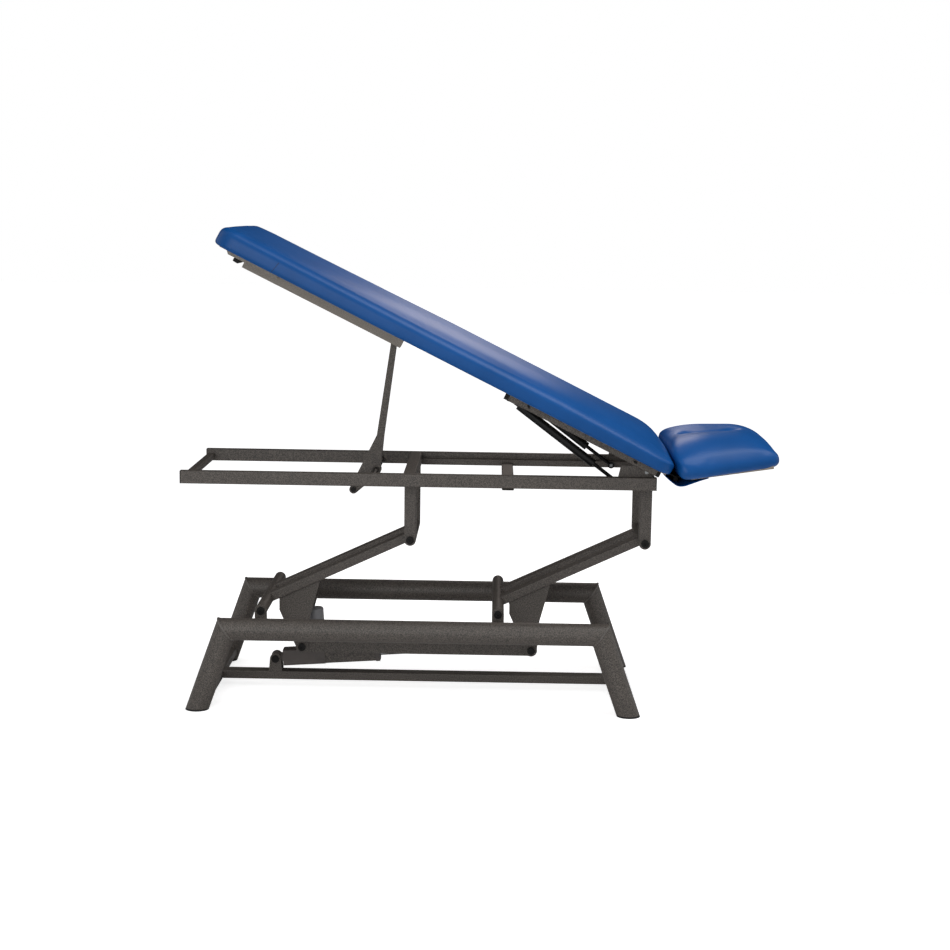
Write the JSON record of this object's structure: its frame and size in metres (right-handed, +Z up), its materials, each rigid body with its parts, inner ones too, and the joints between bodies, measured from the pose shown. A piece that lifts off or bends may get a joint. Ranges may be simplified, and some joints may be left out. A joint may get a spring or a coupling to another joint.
{
  "type": "treatment table",
  "caption": "Two-section upholstered treatment table on a motor-lifted parallel-arm base, with a propped tilting section and a hinged headrest.",
  "frame": {"origin": "on the floor, under the middle of the table's bounding box", "axes": "+X from the foot end to the headrest, +Y to the far side, +Z up"},
  "size_m": [1.8778, 0.69, 1.5118],
  "materials": {
    "blue_vinyl": "royal blue upholstery vinyl, slightly grained, satin",
    "powder_coat": "dark grey-brown speckled powder coat, semi-gloss",
    "plated_steel": "zinc plated",
    "black_steel": "blackened steel bolts and pins",
    "chrome_rod": "ground and hard chromed",
    "black_rubber": "matt",
    "black_plastic": "moulded, fine texture",
    "grey_plastic": "moulded actuator housing",
    "plywood": "birch plywood, sealed",
    "grey_enamel": "light grey, satin",
    "nylon": "natural nylon",
    "black_enamel": "black, semi-gloss"
  },
  "bodies": {
    "base": {"base_side_tubes": "powder_coat", "base_legs": "powder_coat", "rubber_feet": "black_rubber", "low_cross_members": "powder_coat", "centre_rail": "powder_coat", "actuator_bracket": "powder_coat", "actuator_rear_pin": "black_steel", "base_pivot_lugs": "powder_coat", "base_pivot_bolts": "black_steel"},
    "foot_arm": {"foot_arm_tubes": "powder_coat", "foot_arm_hubs": "powder_coat", "foot_arm_bushes": "nylon", "foot_arm_lever_plates": "powder_coat", "foot_lever_bolts": "black_steel"},
    "head_arm": {"head_arm_tubes": "powder_coat", "head_arm_hubs": "powder_coat", "head_arm_bushes": "nylon", "head_arm_lever_plates": "powder_coat", "head_lever_pin": "black_steel"},
    "tie_bars": {"tie_bars": "powder_coat"},
    "lift_actuator": {"actuator_gear_housing": "grey_plastic", "lift_motor": "grey_plastic", "actuator_outer_tube": "powder_coat", "actuator_mouth_collar": "black_plastic"},
    "lift_rod": {"lift_rod": "chrome_rod"},
    "upper_frame": {"side_rails": "powder_coat", "rail_end_plugs": "black_plastic", "foot_crossbar": "powder_coat", "main_crossbars": "powder_coat", "low_crossbar": "powder_coat", "rail_stiffeners": "powder_coat", "drop_legs": "powder_coat", "leg_pivot_bolts": "black_steel", "prop_shaft": "plated_steel", "hinge_brackets": "powder_coat", "section_hinge_pins": "plated_steel", "spring_lower_studs": "plated_steel"},
    "long_section": {"long_pad": "blue_vinyl", "long_board": "plywood", "section_side_bars": "powder_coat", "bar_end_caps": "black_plastic", "section_hinge_ears": "powder_coat", "prop_guide": "grey_enamel", "spring_upper_mounts": "plated_steel", "section_hinge_leaves": "plated_steel", "headrest_hinge_pins": "plated_steel"},
    "prop": {"prop_plates": "powder_coat", "prop_hub": "powder_coat", "prop_roller": "nylon", "prop_roller_pin": "black_steel", "crank_pin": "black_steel"},
    "gas_cylinders": {"gas_cylinders": "black_enamel", "gas_ball_sockets": "black_plastic"},
    "gas_rods": {"gas_rods": "chrome_rod"},
    "headrest": {"headrest_pad": "blue_vinyl", "headrest_board": "plywood", "headrest_hinge_leaves": "plated_steel"}
  },
  "joints": [
    {"name": "lift", "type": "hinge", "parent": "base", "child": "foot_arm", "pos_m": [-0.6902, 0, 0.308], "axis": [0, -1, 0], "range_deg": [-36, 10]},
    {"name": "head_arm_swing", "type": "hinge", "parent": "base", "child": "head_arm", "pos_m": [0.0588, 0, 0.308], "axis": [0, -1, 0], "range_deg": [-36, 10]},
    {"name": "frame_level", "type": "hinge", "parent": "foot_arm", "child": "upper_frame", "pos_m": [-0.22534, 0, 0.52378], "axis": [0, -1, 0], "range_deg": [-10, 36]},
    {"name": "tie_bar_level", "type": "hinge", "parent": "foot_arm", "child": "tie_bars", "pos_m": [-0.5797, 0, 0.1475], "axis": [0, -1, 0], "range_deg": [-10, 36]},
    {"name": "actuator_swing", "type": "hinge", "parent": "base", "child": "lift_actuator", "pos_m": [-0.6732, 0, 0.092], "axis": [0, -1, 0], "range_deg": [-2.8, 0.8]},
    {"name": "rod_swing", "type": "hinge", "parent": "head_arm", "child": "lift_rod", "pos_m": [0.1693, 0, 0.1475], "axis": [0, -1, 0], "range_deg": [-9.3, 33.3]},
    {"name": "section_tilt", "type": "hinge", "parent": "upper_frame", "child": "long_section", "pos_m": [0.5148, 0, 0.768], "axis": [0, 1, 0], "range_deg": [-26.3, 0]},
    {"name": "prop_swing", "type": "hinge", "parent": "upper_frame", "child": "prop", "pos_m": [-0.3452, 0, 0.727], "axis": [0, -1, 0], "range_deg": [0, 97.1]},
    {"name": "gas_spring_swing", "type": "hinge", "parent": "long_section", "child": "gas_cylinders", "pos_m": [0.08266, 0, 0.98827], "axis": [0, 1, 0], "range_deg": [-3.4, 0]},
    {"name": "gas_rod_slide", "type": "slide", "parent": "gas_cylinders", "child": "gas_rods", "axis": [0.7979, 0, -0.6028], "range_m": [-0.034, 0]},
    {"name": "headrest_tilt", "type": "hinge", "parent": "long_section", "child": "headrest", "pos_m": [0.61063, 0, 0.74072], "axis": [0, -1, 0], "range_deg": [-75, 0]}
  ],
  "couplings": [
    {"joint": "head_arm_swing", "follows": "lift", "ratio": 1},
    {"joint": "frame_level", "follows": "lift", "ratio": -1},
    {"joint": "tie_bar_level", "follows": "lift", "ratio": -1},
    {"joint": "actuator_swing", "follows": "lift", "ratio": 0.076},
    {"joint": "rod_swing", "follows": "lift", "ratio": -0.924},
    {"joint": "prop_swing", "follows": "section_tilt", "ratio": -3.69},
    {"joint": "gas_spring_swing", "follows": "section_tilt", "ratio": 0.126},
    {"joint": "gas_rod_slide", "follows": "section_tilt", "m_per_rad": 0.073}
  ]
}
